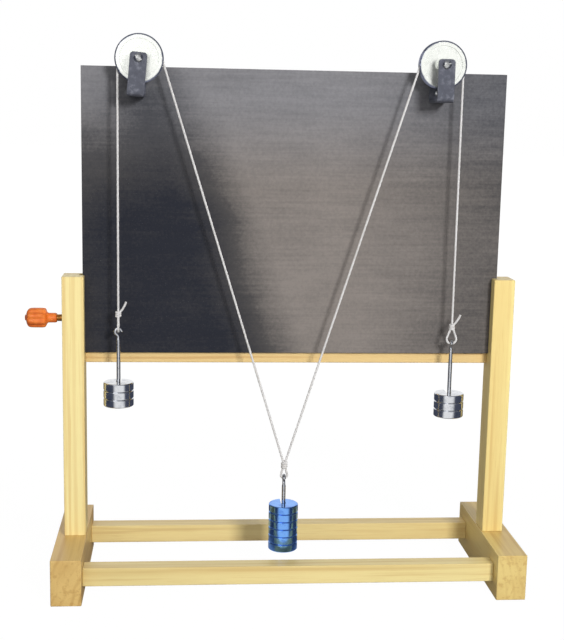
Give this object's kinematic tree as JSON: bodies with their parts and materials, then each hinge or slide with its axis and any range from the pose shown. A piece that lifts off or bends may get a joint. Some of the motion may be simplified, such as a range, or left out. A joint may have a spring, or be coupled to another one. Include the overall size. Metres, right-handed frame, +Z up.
{
  "type": "parallelogram of forces apparatus",
  "caption": "Wooden stand holding a black board upright, with a cord over pulleys at its upper edge and slotted weights on hangers at the ends and middle of the cord.",
  "frame": {"origin": "on the table, in the middle of the box that the whole part fills", "axes": "+Z up; +Y away from the face of the board that carries the pulleys; +X to the right as that face is seen, away from the clamp knob"},
  "size_m": [0.537, 0.18, 0.5875],
  "materials": {
    "wood": "clear varnish",
    "board_paint": "black blackboard paint on plywood",
    "black_metal": "black enamel",
    "aluminium": "turned",
    "steel": "zinc plated",
    "brass": "plain",
    "knob": "moulded",
    "bright_metal": "nickel plated",
    "cord": "twisted white cord"
  },
  "bodies": {
    "stand": {"left_foot": "wood", "right_foot": "wood", "left_upright": "wood", "right_upright": "wood", "front_rail": "wood", "rear_rail": "wood", "cross_rail": "wood", "clamp_bush": "brass"},
    "clamp_shoe": {"clamp_shoe": "steel"},
    "clamp_screw": {"clamp_screw": "brass", "clamp_knob": "knob"},
    "board": {"board": "board_paint", "left_pulley_frame": "black_metal", "right_pulley_frame": "black_metal", "left_frame_screws": "steel", "right_frame_screws": "steel", "left_axle": "steel", "right_axle": "steel", "left_axle_nut": "steel", "right_axle_nut": "steel", "left_axle_sleeves": "steel", "right_axle_sleeves": "steel", "left_hanging_cord": "cord", "right_hanging_cord": "cord", "left_pulley_cord": "cord", "right_pulley_cord": "cord", "left_slant_cord": "cord", "right_slant_cord": "cord"},
    "left_pulley": {"left_pulley": "aluminium"},
    "right_pulley": {"right_pulley": "aluminium"},
    "left_cord_end": {"left_cord_knot": "cord", "left_cord_loop": "cord"},
    "left_hanger": {"left_hanger_stem": "bright_metal", "left_hanger_base": "bright_metal"},
    "left_weight_1": {"left_weight_1": "bright_metal"},
    "left_weight_2": {"left_weight_2": "bright_metal"},
    "right_cord_end": {"right_cord_knot": "cord", "right_cord_loop": "cord"},
    "right_hanger": {"right_hanger_stem": "bright_metal", "right_hanger_base": "bright_metal"},
    "right_weight_1": {"right_weight_1": "bright_metal"},
    "right_weight_2": {"right_weight_2": "bright_metal"},
    "centre_cord_end": {"centre_cord_knot": "cord", "centre_cord_loop": "cord"},
    "centre_hanger": {"centre_hanger_stem": "bright_metal", "centre_hanger_base": "bright_metal"},
    "centre_weight_1": {"centre_weight_1": "bright_metal"},
    "centre_weight_2": {"centre_weight_2": "bright_metal"},
    "centre_weight_3": {"centre_weight_3": "bright_metal"},
    "centre_weight_4": {"centre_weight_4": "bright_metal"},
    "centre_weight_5": {"centre_weight_5": "bright_metal"}
  },
  "joints": [
    {"name": "knob_turn", "type": "hinge", "parent": "clamp_shoe", "child": "clamp_screw", "pos_m": [-0.2275, 0.0035, 0.289], "axis": [-1, 0, 0], "range_deg": [0, 520]},
    {"name": "shoe_slide", "type": "slide", "parent": "stand", "child": "clamp_shoe", "axis": [-1, 0, 0], "range_m": [0, 0.0018]},
    {"name": "board_lift", "type": "slide", "parent": "stand", "child": "board", "axis": [0, 0, 1], "range_m": [0, 0.09]},
    {"name": "centre_lift", "type": "slide", "parent": "board", "child": "centre_cord_end", "axis": [0, 0, 1], "range_m": [0, 0.12], "deforming": ["left_slant_cord", "right_slant_cord"]},
    {"name": "left_drop", "type": "slide", "parent": "board", "child": "left_cord_end", "axis": [0, 0, -1], "range_m": [0, 0.113], "deforming": ["left_hanging_cord"]},
    {"name": "right_drop", "type": "slide", "parent": "board", "child": "right_cord_end", "axis": [0, 0, -1], "range_m": [0, 0.113], "deforming": ["right_hanging_cord"]},
    {"name": "left_pulley_spin", "type": "hinge", "parent": "board", "child": "left_pulley", "pos_m": [-0.1455, -0.023, 0.5625], "axis": [0, -1, 0], "range_deg": [0, 292]},
    {"name": "right_pulley_spin", "type": "hinge", "parent": "board", "child": "right_pulley", "pos_m": [0.1685, -0.023, 0.5625], "axis": [0, 1, 0], "range_deg": [0, 292]},
    {"name": "left_swing", "type": "hinge", "parent": "left_cord_end", "child": "left_hanger", "pos_m": [-0.1677, -0.023, 0.2824], "axis": [1, 0, 0], "range_deg": [-12, 12]},
    {"name": "left_weight_1_slide", "type": "slide", "parent": "left_hanger", "child": "left_weight_1", "axis": [0, -1, 0], "range_m": [0, 0.045]},
    {"name": "left_weight_2_slide", "type": "slide", "parent": "left_hanger", "child": "left_weight_2", "axis": [0, -1, 0], "range_m": [0, 0.045]},
    {"name": "right_swing", "type": "hinge", "parent": "right_cord_end", "child": "right_hanger", "pos_m": [0.1907, -0.023, 0.2704], "axis": [0, 1, 0], "range_deg": [-12, 12]},
    {"name": "right_weight_1_slide", "type": "slide", "parent": "right_hanger", "child": "right_weight_1", "axis": [0, -1, 0], "range_m": [0, 0.045]},
    {"name": "right_weight_2_slide", "type": "slide", "parent": "right_hanger", "child": "right_weight_2", "axis": [0, -1, 0], "range_m": [0, 0.045]},
    {"name": "centre_swing", "type": "hinge", "parent": "centre_cord_end", "child": "centre_hanger", "pos_m": [0.0115, -0.023, 0.1199], "axis": [0, 1, 0], "range_deg": [-12, 12]},
    {"name": "centre_weight_1_slide", "type": "slide", "parent": "centre_hanger", "child": "centre_weight_1", "axis": [0, -1, 0], "range_m": [0, 0.045]},
    {"name": "centre_weight_2_slide", "type": "slide", "parent": "centre_hanger", "child": "centre_weight_2", "axis": [0, -1, 0], "range_m": [0, 0.045]},
    {"name": "centre_weight_3_slide", "type": "slide", "parent": "centre_hanger", "child": "centre_weight_3", "axis": [0, -1, 0], "range_m": [0, 0.045]},
    {"name": "centre_weight_4_slide", "type": "slide", "parent": "centre_hanger", "child": "centre_weight_4", "axis": [0, -1, 0], "range_m": [0, 0.045]},
    {"name": "centre_weight_5_slide", "type": "slide", "parent": "centre_hanger", "child": "centre_weight_5", "axis": [0, -1, 0], "range_m": [0, 0.045]}
  ],
  "couplings": [
    {"joint": "knob_turn", "follows": "shoe_slide", "rad_per_m": 5026.5},
    {"joint": "left_drop", "follows": "centre_lift", "ratio": 0.9398},
    {"joint": "right_drop", "follows": "centre_lift", "ratio": 0.9398},
    {"joint": "left_pulley_spin", "follows": "centre_lift", "rad_per_m": 42.333},
    {"joint": "right_pulley_spin", "follows": "centre_lift", "rad_per_m": 42.333}
  ]
}
